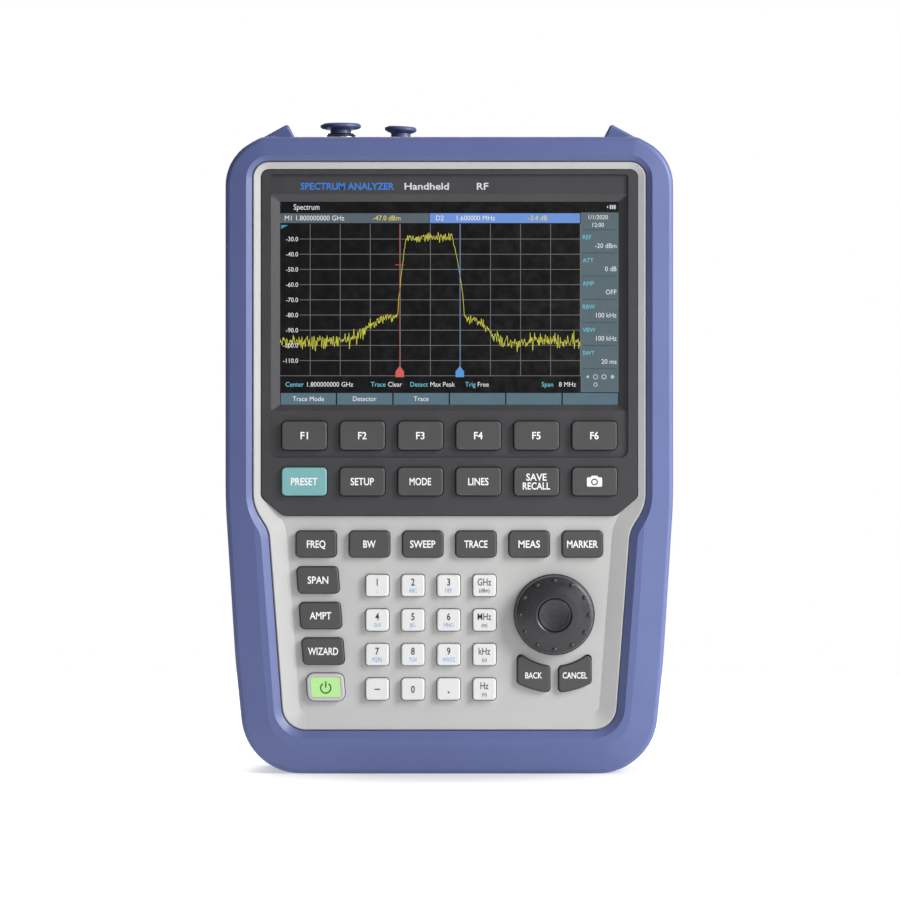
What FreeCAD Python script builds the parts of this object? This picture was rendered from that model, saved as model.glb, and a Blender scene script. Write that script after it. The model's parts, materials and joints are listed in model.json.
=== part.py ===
import FreeCAD, Part
import math
import os
from FreeCAD import Vector

# Handheld spectrum analyzer, one STEP file per physical piece, in millimetres.
# +X is the viewer's right, the screen faces -Y and +Z is up. The origin is the
# middle of the footprint, on the surface that the instrument stands on.

# ---- overall outline: right half from top to bottom, (x, z, corner radius) ----
FRONT_Y = -34.0             # front face of the protective bumper
REAR_Y = 36.0               # rear rim of the bumper, between its corner pads
PAD_REAR_Y = 38.0           # rear face of the corner pads
KNOB_FRONT_Y = -38.0
BODY_HALF = [(84.7, 287.2, 8), (101, 278.3, 22), (101, 122.5, 250), (96.6, 52, 350), (91.4, 0, 27)]
OPENING_HALF = [(88.9, 276.2, 7.5), (88.9, 120.8, 20), (81.7, 109.2, 13), (75.0, 19.4, 11)]
PANEL_HALF = [(84.8, 272.3, 3.5), (84.8, 124.7, 3), (75.0, 116.4, 4)]

# ---- bumper ----
BUMPER_WALL = 5.0
FRONT_LIP_BACK_Y = -29.7
REAR_LIP_FRONT_Y = 30.0
REAR_LIP_WIDTH = 12.5
LIP_CHAMFER = 2.4           # depth of the slope round the opening
LIP_CHAMFER_WIDTH = 3.6
SIDE_ROUND = 3.0
BAND_DROP = 1.7             # the front band leans back by this much towards its outer edge
BAND_WIDTH = (2.0, 12.5)    # where the leaning band starts and ends, in from the outline
REAR_ROUND = 5.0
WING_HALF = [(73.1, 293.52, 1.4), (93.0, 282.66, 0), (93.0, 268, 0), (69.7, 268, 0), (69.7, 287.0, 0)]
WING_Y = (-25.0, 28.0)
WELL_X = 66.0               # half width of the connector well in the top
WELL_Y = (-14.0, 22.0)
DECK_Z = 274.0              # floor of the connector well

# ---- housing ----
FIT = 0.1                   # housing to bumper
WALL = 2.5
PARTING_Y = -20.0
PARTING_GAP = 0.1
BEZEL_RIM_Y = -31.9         # grey front edge beside the bumper opening
BEZEL_GAP = 0.5
FLOOR_Y = -29.5             # keypad floor
SLOPE_WIDTH = 7.7           # slope from the rim down to the keypad floor
SKIN_BACK_Y = -26.7         # back of the key-bearing skin
LEDGE_BACK_Y = -24.7
BACK_WALL_Y = (25.9, 28.9)
BACK_PANEL_Y = 34.0
BACK_PANEL_INSET = 13.2

# ---- dark control panel and display ----
PANEL_FACE_Y = -31.0
POCKET_Y = -29.8
PANEL_GAP = 0.3
POCKET = [(80.7, 270.2, 1.4), (80.7, 142.4, 3.6)]
RECESS_TOP = [(80.5, 261.3, 1.0), (80.5, 163.6, 1.0)]
WINDOW_HOLE = [(76.4, 258.0, 0.4), (76.4, 166.4, 0.4)]
WINDOW_Y = (-28.2, -27.1)
WINDOW = [(78.4, 260.0, 1.0), (78.4, 164.4, 1.0)]
LCD = [(79.0, 262.0, 2.0), (79.0, 163.0, 2.0)]
LCD_Y = (-26.5, -21.0)

# ---- keys ----
KEY_CLEAR = 0.35
FLANGE = 1.1                # how far a key's retaining flange reaches past its cap
FLANGE_Y = (-26.3, -25.3)
POCKET_KEY_Y = -32.0
PANEL_KEY_Y = -32.9
FLOOR_KEY_Y = -31.8
DARK_ROUND = 0.6
WHITE_ROUND = 0.7
MAT_Y = (-23.4, -22.2)
MAT_DOME_Y = -24.1          # front of the rubber domes, short of a pressed key
KEYPAD_BOARD_Y = (-22.1, -20.5)
MAIN_BOARD_Y = (-12.0, -10.4)

PANEL_PITCH = 26.15
MENU_PITCH = 24.0
SOFT_ROW_Z = 152.4
PRESET_ROW_Z = 131.7
MENU_ROW_Z = 103.5
SOFT_NAMES = ["f1", "f2", "f3", "f4", "f5", "f6"]
PRESET_NAMES = ["preset", "setup", "mode", "lines", "save", "camera"]
MENU_NAMES = ["freq", "bw", "sweep", "trace", "meas", "marker"]
SIDE_NAMES = ["span", "ampt", "wizard"]
NUMBER_NAMES = [["1", "2", "3", "ghz"], ["4", "5", "6", "mhz"], ["7", "8", "9", "khz"],
                ["minus", "0", "point", "hz"]]
NUMBER_X0, NUMBER_Z0 = -32.5, 84.8
NUMBER_PITCH_X, NUMBER_PITCH_Z = 16.1, 15.57
SIDE_X0, SIDE_Z0 = -59.2, 87.3
SIDE_STEP_X, SIDE_PITCH_Z = 1.15, 16.05
SIDE_LEAN = 0.073           # how far a side key's ends lean with the tapering edge

# ---- knob ----
KNOB_X, KNOB_Z = 47.3, 71.7
KNOB_R = 18.3
KNOB_TOP_R = 17.2
KNOB_BACK_Y = -29.8
KNOB_FACE_R = 8.2
BUTTON_R = 7.3
BUTTON_CLEAR = 0.35
NIB_COUNT = 12
NIB_R = 1.05
NIB_RING_R = 15.5
SHAFT_R = 3.0
SHAFT_FIT = 0.05
BUTTON_STEM_R = 1.2
ARROW_KEY_R = (23.4, 34.9)  # inner and outer radius of the two curved keys
ARROW_KEY_X = (2.0, 16.6)

# ---- top connectors ----
CONNECTOR_Y = 3.0
RF_X = -49.9
RF_THREAD_R = 7.94          # 5/8-24 thread of a type N jack
RF_TOP_Z = 291.0
RF_THREAD_Z = 277.4         # where the thread starts, above its relief groove
BNC_X = -22.3
BNC_R = 4.83
BNC_TOP_Z = 288.3
NUT_H = 2.6

# ---- back ----
BATTERY_BAY = [(57.0, 171.0, 4), (57.0, 63.0, 4)]
BATTERY_Y = (8.0, 30.5)
LID_Y = (31.5, 34.0)
STAND_PIVOT_Y, STAND_PIVOT_Z = 31.5, 196.0
STAND_LEG_X = (60.0, 72.0)
STAND_BAR_Z = (44.0, 58.0)
STAND_THICK = 4.6
STAND_GAP = 0.5
STAND_PIN_R = 1.6
SCREW_PLACES = [(80.0, 267.6), (82.3, 142.0), (70.0, 24.5)]
BOSS_R = 4.0
BOSS_END_Y = -14.0

# ---- left service door and the sockets ----
DOOR_Z = (140.0, 196.0)
DOOR_Y = (-17.0, 3.0)
DOOR_X = -100.7
DOOR_THICK = 3.0
DOOR_GAP = 0.4
HINGE_R = 1.2
HINGE_PIN_R = 0.8
LAN_Z = 176.5
USB_Z = 155.0
SOCKET_X = 95.6
POWER_Z = 176.0
PHONES_Z = 156.0
PHONES_R = 1.78


def symmetric(half):
    """Whole outline from its right half."""
    return half + [(-x, z, r) for x, z, r in reversed(half)]


def inset(corners, depth):
    """The same outline moved inwards; a negative depth grows it."""
    moved = []
    count = len(corners)
    for i in range(count):
        (ax, az, _), (px, pz, radius), (bx, bz, _) = corners[i - 1], corners[i], corners[(i + 1) % count]
        d1 = Vector(px - ax, 0, pz - az).normalize()
        d2 = Vector(bx - px, 0, bz - pz).normalize()
        n1 = Vector(d1.z, 0, -d1.x)
        n2 = Vector(d2.z, 0, -d2.x)
        shift = (n1 + n2) * (depth / (1 + n1.dot(n2)))
        convex = d1.x * d2.z - d1.z * d2.x < 0
        new_radius = 0 if radius == 0 else max(radius - depth if convex else radius + depth, 0.4)
        moved.append((px + shift.x, pz + shift.z, new_radius))
    return moved


def outline_wire(corners, y):
    """Closed wire of straight runs and tangent corner arcs in the plane at depth y."""
    runs = []
    count = len(corners)
    for i in range(count):
        (ax, az, _), (px, pz, radius), (bx, bz, _) = corners[i - 1], corners[i], corners[(i + 1) % count]
        p = Vector(px, y, pz)
        u = (Vector(ax, y, az) - p).normalize()
        v = (Vector(bx, y, bz) - p).normalize()
        half = math.acos(max(-1, min(1, u.dot(v)))) / 2
        if radius == 0:
            runs.append((p, None, p))
            continue
        start = p + u * (radius / math.tan(half))
        end = p + v * (radius / math.tan(half))
        middle = p + (u + v).normalize() * (radius / math.sin(half) - radius)
        runs.append((start, middle, end))
    edges = []
    for i, (start, middle, end) in enumerate(runs):
        if middle is not None:
            edges.append(Part.Arc(start, middle, end).toShape())
        following = runs[(i + 1) % count][0]
        if (following - end).Length > 1e-6:
            edges.append(Part.LineSegment(end, following).toShape())
    return Part.Wire(edges)


def prism(corners, y0, y1):
    face = Part.Face(outline_wire(corners, y0))
    return face.extrude(Vector(0, y1 - y0, 0))


def taper(corners0, y0, corners1, y1):
    return Part.makeLoft([outline_wire(corners0, y0), outline_wire(corners1, y1)], True, True)


def rect(x, z, w, h, r):
    return [(x + w / 2, z + h / 2, r), (x + w / 2, z - h / 2, r),
            (x - w / 2, z - h / 2, r), (x - w / 2, z + h / 2, r)]


def box(x0, x1, y0, y1, z0, z1):
    return Part.makeBox(x1 - x0, y1 - y0, z1 - z0, Vector(x0, y0, z0))


def rod_y(x, z, radius, y0, y1):
    return Part.makeCylinder(radius, y1 - y0, Vector(x, y0, z), Vector(0, 1, 0))


def rod_z(x, y, radius, z0, z1):
    return Part.makeCylinder(radius, z1 - z0, Vector(x, y, z0), Vector(0, 0, 1))


def rod_x(y, z, radius, x0, x1):
    return Part.makeCylinder(radius, x1 - x0, Vector(x0, y, z), Vector(1, 0, 0))


def turned(profile, base, axis):
    """Solid of revolution: profile is (radius, height) pairs, height along the axis."""
    points = [Vector(r, 0, h) for r, h in profile]
    face = Part.Face(Part.makePolygon(points + points[:1]))
    solid = face.revolve(Vector(0, 0, 0), Vector(0, 0, 1), 360)
    solid.Placement = FreeCAD.Placement(base, FreeCAD.Rotation(Vector(0, 0, 1), axis))
    return solid


def edges_at_y(shape, y):
    return [e for e in shape.Edges if abs(e.BoundBox.YMin - y) < 1e-4 and abs(e.BoundBox.YMax - y) < 1e-4]


def mirrored(shape):
    return shape.mirror(Vector(0, 0, 0), Vector(1, 0, 0))


def save(name, shape):
    shape = shape.removeSplitter()
    solids = shape.Solids
    assert solids and all(s.isValid() for s in solids), name
    out = solids[0] if len(solids) == 1 else Part.makeCompound(solids)
    out.exportStep("parts/" + name + ".step")
    print(name, len(solids), round(shape.Volume))


BODY = symmetric(BODY_HALF)
OPENING = symmetric(OPENING_HALF)
PANEL = symmetric(PANEL_HALF)
HOUSING = inset(BODY, BUMPER_WALL + FIT)
HOUSING_INSIDE = inset(HOUSING, WALL)
DOOR_HINGE_Y = DOOR_Y[1] + HINGE_R + 0.2
DOOR_HINGE_X = DOOR_X + HINGE_R


def bumper_body():
    """Outer block of the bumper: leaning front band, rounded edges, and the two corner wings."""
    shoulder = FRONT_Y + BAND_DROP
    block = prism(BODY, shoulder, REAR_Y)
    block = block.makeFillet(SIDE_ROUND, edges_at_y(block, shoulder))
    block = block.makeFillet(REAR_ROUND, edges_at_y(block, REAR_Y))
    foot = inset(BODY, BAND_WIDTH[0])
    band = Part.makeLoft([outline_wire(foot, shoulder + 1.0), outline_wire(foot, shoulder + 0.12),
                          outline_wire(inset(BODY, BAND_WIDTH[1]), FRONT_Y)], True, True)
    wing = prism(WING_HALF, *WING_Y)
    tips = [e for y in WING_Y for e in edges_at_y(wing, y) if e.BoundBox.ZMin > 282]
    wing = wing.makeFillet(1.2, tips)
    return block.fuse([band, wing, mirrored(wing)])


def corner_pads():
    ring = prism(inset(BODY, 3.0), REAR_Y - 6, PAD_REAR_Y).cut(
        prism(inset(BODY, REAR_LIP_WIDTH - 1.5), REAR_Y - 6, PAD_REAR_Y))
    corners = [box(x0, x0 + 52, 0, 40, z0, z0 + 46) for x0 in (-112, 60) for z0 in (-4, 254)]
    return ring.common(Part.makeCompound(corners))


def door_window(grow):
    """Space of the service door and its hinge in the left wall."""
    return box(-112, -BUMPER_WALL - 88, DOOR_Y[0] - grow, DOOR_HINGE_Y + HINGE_R + 2 * grow,
               DOOR_Z[0] - grow, DOOR_Z[1] + grow)


def protective_bumper():
    body = bumper_body().fuse(corner_pads())
    hollow = prism(inset(BODY, BUMPER_WALL), FRONT_LIP_BACK_Y, REAR_LIP_FRONT_Y)
    opening = prism(OPENING, FRONT_Y - 1, FRONT_LIP_BACK_Y)
    chamfer = taper(OPENING, FRONT_Y + LIP_CHAMFER, inset(OPENING, -LIP_CHAMFER_WIDTH), FRONT_Y - 0.2)
    rear = prism(inset(BODY, REAR_LIP_WIDTH), REAR_LIP_FRONT_Y, PAD_REAR_Y + 1)
    well = box(-WELL_X, WELL_X, *WELL_Y, 270, 300)
    body = body.cut([hollow, opening, chamfer, rear, well, door_window(DOOR_GAP)])
    pins = rod_z(DOOR_HINGE_X, DOOR_HINGE_Y, HINGE_PIN_R + SHAFT_FIT, DOOR_Z[0] - 3.2, DOOR_Z[1] + 3.2)
    power = rod_x(CONNECTOR_Y - 4.5, POWER_Z, 7.0, 90, 110)
    phones = rod_x(CONNECTOR_Y - 4.5, PHONES_Z, 5.0, 90, 110)
    return body.cut([pins, power, phones])


def front_bezel():
    rim = inset(OPENING, BEZEL_GAP)
    shell = prism(rim, BEZEL_RIM_Y, SKIN_BACK_Y)
    shell = shell.makeChamfer(0.3, edges_at_y(shell, BEZEL_RIM_Y))
    basin = taper(inset(OPENING, BEZEL_GAP + 0.5), BEZEL_RIM_Y - 0.02,
                  inset(OPENING, BEZEL_GAP + SLOPE_WIDTH), FLOOR_Y)
    shell = shell.cut(basin)
    flange = prism(HOUSING, FRONT_LIP_BACK_Y + FIT, SKIN_BACK_Y).cut(
        prism(inset(rim, 1), FRONT_LIP_BACK_Y, SKIN_BACK_Y))
    walls = prism(HOUSING, SKIN_BACK_Y, PARTING_Y).cut(prism(HOUSING_INSIDE, SKIN_BACK_Y, PARTING_Y))
    ledge = prism(inset(PANEL, -2.5), SKIN_BACK_Y, LEDGE_BACK_Y)
    bosses = [rod_y(s * x, z, BOSS_R, SKIN_BACK_Y, BOSS_END_Y) for x, z in SCREW_PLACES for s in (-1, 1)]
    shell = shell.fuse([flange, walls, ledge] + bosses)
    cuts = [prism(inset(PANEL, -PANEL_GAP), BEZEL_RIM_Y - 1, SKIN_BACK_Y),
            prism(inset(PANEL, 3.0), SKIN_BACK_Y - 1, LEDGE_BACK_Y)]
    cuts += [rod_y(s * x, z, 1.25, BOSS_END_Y - 9, BOSS_END_Y) for x, z in SCREW_PLACES for s in (-1, 1)]
    cuts += [key_prism(k, KEY_CLEAR, BEZEL_RIM_Y, SKIN_BACK_Y) for k in KEYS if k["front"] == FLOOR_KEY_Y]
    cuts.append(rod_y(KNOB_X, KNOB_Z, SHAFT_R + 0.6, BEZEL_RIM_Y, SKIN_BACK_Y))
    return shell.cut(cuts)


def control_panel():
    plate = prism(PANEL, PANEL_FACE_Y, SKIN_BACK_Y)
    plate = plate.makeChamfer(0.25, edges_at_y(plate, PANEL_FACE_Y))
    pocket = prism(symmetric(POCKET), PANEL_FACE_Y - 1, POCKET_Y)
    recess = taper(symmetric(RECESS_TOP), POCKET_Y - 0.01, symmetric(WINDOW_HOLE), WINDOW_Y[0])
    seat = prism(inset(symmetric(WINDOW), -FIT), WINDOW_Y[0], SKIN_BACK_Y)
    keys = [key_prism(k, KEY_CLEAR, PANEL_FACE_Y - 1, SKIN_BACK_Y) for k in KEYS if k["front"] != FLOOR_KEY_Y]
    return plate.cut([pocket, recess, seat] + keys)


def key(name, x, z, w, h, front, radius=2.0, lean=0.0, edge=DARK_ROUND):
    shift = lean * h / 2
    corners = [(x + w / 2 - shift, z + h / 2, radius), (x + w / 2 + shift, z - h / 2, radius),
               (x - w / 2 + shift, z - h / 2, radius), (x - w / 2 - shift, z + h / 2, radius)]
    return {"name": "key_" + name, "corners": corners, "front": front, "edge": edge, "x": x, "z": z}


def curved_key(name, side):
    return {"name": "key_" + name, "side": side, "front": FLOOR_KEY_Y, "edge": DARK_ROUND,
            "x": KNOB_X + side * 9.6, "z": KNOB_Z - 27.5}


def row_of_keys(names, pitch, z, w, h, front):
    middle = (len(names) - 1) / 2
    return [key(name, (i - middle) * pitch, z, w, h, front) for i, name in enumerate(names)]


def all_keys():
    keys = row_of_keys(SOFT_NAMES, PANEL_PITCH, SOFT_ROW_Z, 20.3, 12.9, POCKET_KEY_Y)
    keys += row_of_keys(PRESET_NAMES, PANEL_PITCH, PRESET_ROW_Z, 20.3, 12.7, PANEL_KEY_Y)
    keys += row_of_keys(MENU_NAMES, MENU_PITCH, MENU_ROW_Z, 18.2, 11.7, FLOOR_KEY_Y)
    for i, name in enumerate(SIDE_NAMES):
        keys.append(key(name, SIDE_X0 + i * SIDE_STEP_X, SIDE_Z0 - i * SIDE_PITCH_Z, 18.5, 11.8,
                        FLOOR_KEY_Y, lean=SIDE_LEAN))
    keys.append(key("power", -55.7, 39.0, 16.8, 12.4, FLOOR_KEY_Y, radius=3.2, lean=SIDE_LEAN))
    for row, names in enumerate(NUMBER_NAMES):
        for column, name in enumerate(names):
            keys.append(key(name, NUMBER_X0 + column * NUMBER_PITCH_X, NUMBER_Z0 - row * NUMBER_PITCH_Z,
                            10.4, 9.8, FLOOR_KEY_Y, radius=1.5, edge=WHITE_ROUND))
    keys.append(curved_key("back", -1))
    keys.append(curved_key("cancel", 1))
    return keys


def key_prism(k, grow, y0, y1):
    """Prism of a key's outline, grown by a clearance or a flange."""
    if "corners" in k:
        return prism(inset(k["corners"], -grow), y0, y1)
    ring = rod_y(KNOB_X, KNOB_Z, ARROW_KEY_R[1] + grow, y0, y1).cut(
        rod_y(KNOB_X, KNOB_Z, ARROW_KEY_R[0] - grow, y0, y1))
    xs = sorted((KNOB_X + k["side"] * (ARROW_KEY_X[0] - grow), KNOB_X + k["side"] * (ARROW_KEY_X[1] + grow)))
    solid = ring.common(box(*xs, y0, y1, KNOB_Z - 60, KNOB_Z))
    upright = [e for e in solid.Edges if e.BoundBox.XLength < 1e-4 and e.BoundBox.ZLength < 1e-4]
    return solid.makeFillet(1.9, upright)


def key_solid(k):
    cap = key_prism(k, 0, k["front"], FLANGE_Y[1])
    cap = cap.makeFillet(k["edge"], edges_at_y(cap, k["front"]))
    cap = cap.fuse(key_prism(k, FLANGE, *FLANGE_Y))
    if k["name"] == "key_power":
        window = inset(k["corners"], 1.55)
        cap = cap.cut(prism([(x, z, 0.9) for x, z, _ in window], k["front"] - 1, k["front"] + 0.4))
    return cap


KEYS = all_keys()


def keypad_mat():
    mat = prism(rect(0, 95.5, 155, 131, 4), *MAT_Y)
    domes = []
    for k in KEYS:
        domes.append(turned([(0, 0), (3.4, 0), (2.4, MAT_Y[0] - MAT_DOME_Y + 0.4), (0, MAT_Y[0] - MAT_DOME_Y + 0.4)],
                            Vector(k["x"], MAT_Y[0] + 0.4, k["z"]), Vector(0, -1, 0)))
    return mat.fuse(domes).cut(rod_y(KNOB_X, KNOB_Z, SHAFT_R + 1.2, MAT_Y[0] - 1, MAT_Y[1] + 1))


def keypad_board():
    board = prism(rect(0, 95.5, 155, 131, 4), *KEYPAD_BOARD_Y)
    board = board.cut(rod_y(KNOB_X, KNOB_Z, SHAFT_R + 0.6, KEYPAD_BOARD_Y[0] - 1, KEYPAD_BOARD_Y[1] + 1))
    encoder = prism(rect(KNOB_X, KNOB_Z, 12.5, 13.2, 0.6), KEYPAD_BOARD_Y[1], KEYPAD_BOARD_Y[1] + 6.5)
    encoder = encoder.cut(rod_y(KNOB_X, KNOB_Z, SHAFT_R + SHAFT_FIT, KEYPAD_BOARD_Y[1] - 1, -14.6))
    return Part.makeCompound([board, encoder])


def knob():
    """Dial with a domed face, finger nibs near its rim, a seat for the push button and its shaft."""
    depth = [(0, -33.0), (BUTTON_R + BUTTON_CLEAR, -33.0), (BUTTON_R + BUTTON_CLEAR, -37.6),
             (KNOB_FACE_R, KNOB_FRONT_Y), (10.5, -37.78), (13.2, -37.2), (16.3, -36.2), (KNOB_TOP_R, -35.5),
             (KNOB_R - 0.4, -31.4), (KNOB_R, -31.0), (KNOB_R, KNOB_BACK_Y), (SHAFT_R, KNOB_BACK_Y), (SHAFT_R, -15.0), (0, -15.0)]
    body = turned([(r, -y) for r, y in depth], Vector(KNOB_X, 0, KNOB_Z), Vector(0, -1, 0))
    nibs = []
    for i in range(NIB_COUNT):
        angle = 2 * math.pi * i / NIB_COUNT
        nib = Part.makeSphere(NIB_R, Vector(KNOB_X + NIB_RING_R * math.cos(angle), -36.35,
                                            KNOB_Z + NIB_RING_R * math.sin(angle)))
        nibs.append(nib)
    stem_hole = rod_y(KNOB_X, KNOB_Z, BUTTON_STEM_R + SHAFT_FIT, -34, -16.5)
    return body.fuse(nibs).cut(stem_hole)


def enter_button():
    depth = [(0, -37.2), (3.0, -37.25), (5.4, -37.45), (6.6, -37.8), (6.9, -37.85), (BUTTON_R, -37.5),
             (BUTTON_R, -33.8), (BUTTON_STEM_R, -33.8), (BUTTON_STEM_R, -18.0), (0, -18.0)]
    return turned([(r, -y) for r, y in depth], Vector(KNOB_X, 0, KNOB_Z), Vector(0, -1, 0))


def main_board():
    """Main circuit board with the sockets and the shielded radio section soldered to it."""
    board = prism([(85, 262, 3), (85, 110, 60), (80, 34, 3), (-80, 34, 3), (-85, 110, 60), (-85, 262, 3)],
                  *MAIN_BOARD_Y)
    board = board.cut([rod_y(s * x, z, BOSS_R + 1.7, -13, -9) for x, z in SCREW_PLACES for s in (-1, 1)])
    back = MAIN_BOARD_Y[1]
    lan = box(-SOCKET_X, -74, back, back + 13.4, LAN_Z - 8, LAN_Z + 8)
    lan = lan.cut(box(-SOCKET_X - 1, -SOCKET_X + 12, back + 2.2, back + 11.2, LAN_Z - 5.9, LAN_Z + 5.9))
    usb = box(-SOCKET_X, -80, back, back + 7.4, USB_Z - 7.2, USB_Z + 7.2)
    usb = usb.cut(box(-SOCKET_X - 1, -SOCKET_X + 10, back + 1.1, back + 6.2, USB_Z - 6.2, USB_Z + 6.2))
    y = CONNECTOR_Y - 4.5
    power = box(80, 93, back, y + 5.5, POWER_Z - 5.5, POWER_Z + 5.5).fuse(rod_x(y, POWER_Z, 5.2, 93, 97.5))
    power = power.cut(rod_x(y, POWER_Z, 3.2, 86, 98)).fuse(rod_x(y, POWER_Z, 0.95, 85, 96.5))
    phones = box(82, 93, back, y + 4, PHONES_Z - 4, PHONES_Z + 4).fuse(rod_x(y, PHONES_Z, 3.4, 93, 97.5))
    phones = phones.cut(rod_x(y, PHONES_Z, PHONES_R, 84, 98))
    shield = box(-70, 8, back, back + 6, 190, 254)
    shield = shield.makeFillet(0.8, edges_at_y(shield, back + 6))
    return Part.makeCompound([board, lan, usb, power, phones, shield])


def rear_cover():
    walls = prism(HOUSING, PARTING_Y + PARTING_GAP, BACK_WALL_Y[1]).cut(
        prism(HOUSING_INSIDE, PARTING_Y, BACK_WALL_Y[0]))
    raised = inset(BODY, BACK_PANEL_INSET)
    panel = prism(raised, BACK_WALL_Y[1], BACK_PANEL_Y - 0.8).fuse(
        taper(raised, BACK_PANEL_Y - 0.8, inset(BODY, BACK_PANEL_INSET + 0.8), BACK_PANEL_Y))
    tub = box(-WELL_X - WALL, WELL_X + WALL, WELL_Y[0] - WALL, WELL_Y[1] + WALL, DECK_Z - WALL, DECK_Z + 7)
    bay = prism(inset(symmetric(BATTERY_BAY), -2), BATTERY_Y[0] - 2, BACK_WALL_Y[0])
    towers = [rod_y(s * x, z, BOSS_R + 1.2, BOSS_END_Y + 0.1, BACK_WALL_Y[0])
              for x, z in SCREW_PLACES for s in (-1, 1)]
    legs = [rect(s * 66.0, 127.0, 12 + 2 * STAND_GAP, 143.4, 0.8) for s in (-1, 1)]
    cover = walls.fuse([panel, tub, bay] + towers)
    cuts = [box(-WELL_X, WELL_X, *WELL_Y, DECK_Z, 300),
            prism(symmetric(BATTERY_BAY), BATTERY_Y[0], BACK_PANEL_Y + 1),
            prism(rect(0, 51, 145, 15, 1.5), BACK_WALL_Y[1], BACK_PANEL_Y + 1),
            prism(rect(0, 42.5, 30, 8, 3), BACK_WALL_Y[1] + 1.5, BACK_PANEL_Y + 1)]
    cuts += [prism(leg, BACK_WALL_Y[1], BACK_PANEL_Y + 1) for leg in legs]
    cuts += [rod_x(STAND_PIVOT_Y, STAND_PIVOT_Z, STAND_PIN_R + SHAFT_FIT, *xs)
             for xs in ((71, 76), (-76, -71))]
    for x, z in SCREW_PLACES:
        for s in (-1, 1):
            cuts.append(rod_y(s * x, z, 1.7, BOSS_END_Y, BACK_PANEL_Y + 1))
            cuts.append(rod_y(s * x, z, 3.3, 24.0, BACK_PANEL_Y + 1))
    cuts += [box(-97, -92, -10.9, 3.8, LAN_Z - 9, LAN_Z + 9), box(-97, -92, -10.5, -2.6, USB_Z - 8, USB_Z + 8)]
    y = CONNECTOR_Y - 4.5
    cuts += [rod_x(y, POWER_Z, 5.6, 88, 98), rod_x(y, PHONES_Z, 3.8, 88, 98)]
    cuts += [rod_z(RF_X, CONNECTOR_Y, RF_THREAD_R + FIT, DECK_Z - 4, DECK_Z + 1),
             rod_z(BNC_X, CONNECTOR_Y, BNC_R + FIT, DECK_Z - 4, DECK_Z + 1)]
    return cover.cut(cuts)


def battery_pack():
    pack = prism(inset(symmetric(BATTERY_BAY), 1.0), BATTERY_Y[0] + 0.5, BATTERY_Y[1])
    return pack.makeFillet(2.0, edges_at_y(pack, BATTERY_Y[1]))


def battery_lid():
    lid = prism(inset(symmetric(BATTERY_BAY), 0.4), *LID_Y)
    lid = lid.makeChamfer(0.6, edges_at_y(lid, LID_Y[1]))
    ribs = [prism(rect(0, 154.0 + 4.2 * i, 36, 1.6, 0.6), LID_Y[1] - 1.0, LID_Y[1] + 1) for i in range(-1, 2)]
    return lid.cut(ribs)


def kickstand():
    """U-shaped stand, its two leg ends turned round the hinge line."""
    y0, y1 = STAND_PIVOT_Y - STAND_THICK / 2, STAND_PIVOT_Y + STAND_THICK / 2
    bar_top = STAND_BAR_Z[1]
    stand = prism(rect(0, (STAND_BAR_Z[0] + bar_top) / 2, 144, bar_top - STAND_BAR_Z[0], 1.2), y0, y1)
    for s in (-1, 1):
        xs = sorted((s * STAND_LEG_X[0], s * STAND_LEG_X[1]))
        pin = sorted((s * (STAND_LEG_X[1] - 1), s * 75.6))
        stand = stand.fuse([box(*xs, y0, y1, bar_top - 3, STAND_PIVOT_Z),
                            rod_x(STAND_PIVOT_Y, STAND_PIVOT_Z, STAND_THICK / 2, *xs),
                            rod_x(STAND_PIVOT_Y, STAND_PIVOT_Z, STAND_PIN_R, *pin)])
    return stand.cut([prism(rect(s * 66.0, 126.0, 5, 112, 2.4), y1 - 1.2, y1 + 1) for s in (-1, 1)])


def service_door():
    """Flap over the left sockets, with a knuckle along its rear edge and a pin at each end."""
    z0, z1 = DOOR_Z
    flap = box(DOOR_X, DOOR_X + DOOR_THICK, *DOOR_Y, z0, z1)
    rear = [e for e in flap.Edges if abs(e.BoundBox.XMax - DOOR_X) < 1e-4]
    flap = flap.makeFillet(0.7, [e for e in rear if e.BoundBox.YMax < DOOR_Y[1] - 1])
    knuckle = rod_z(DOOR_HINGE_X, DOOR_HINGE_Y, HINGE_R, z0, z1)
    strap = box(DOOR_X + 0.3, DOOR_X + 2 * HINGE_R - 0.3, DOOR_Y[1] - 1, DOOR_HINGE_Y, z0, z1)
    pin = rod_z(DOOR_HINGE_X, DOOR_HINGE_Y, HINGE_PIN_R, z0 - 2.6, z1 + 2.6)
    scoop = rod_z(DOOR_X - 1.4, DOOR_Y[0] + 1.0, 2.6, 160, 176)
    return flap.fuse([knuckle, strap, pin]).cut(scoop)


def hex_nut(x, across_flats, z0, height):
    radius = across_flats / math.sqrt(3)
    points = [Vector(x + radius * math.cos(math.radians(a)), CONNECTOR_Y + radius * math.sin(math.radians(a)), z0)
              for a in range(0, 420, 60)]
    return Part.Face(Part.makePolygon(points)).extrude(Vector(0, 0, height))


def rf_connector():
    """Type N jack, through the deck of the connector well."""
    profile = [(0, 258), (6.0, 258), (6.0, 262), (9.6, 262), (9.6, DECK_Z - WALL), (7.8, DECK_Z - WALL),
               (7.8, DECK_Z + 1.5), (7.2, DECK_Z + 2.1), (7.2, RF_THREAD_Z), (RF_THREAD_R, RF_THREAD_Z),
               (RF_THREAD_R, RF_TOP_Z - 1.6), (6.5, RF_TOP_Z), (5.4, RF_TOP_Z), (4.25, RF_TOP_Z - 1.2),
               (4.25, 279.0), (0, 279.0)]
    jack = turned(profile, Vector(RF_X, CONNECTOR_Y, 0), Vector(0, 0, 1))
    contact = rod_z(RF_X, CONNECTOR_Y, 1.5, 278, 287.6).cut(rod_z(RF_X, CONNECTOR_Y, 0.8, 282, 289))
    return jack.fuse([contact, hex_nut(RF_X, 20.0, DECK_Z, NUT_H)])


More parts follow.
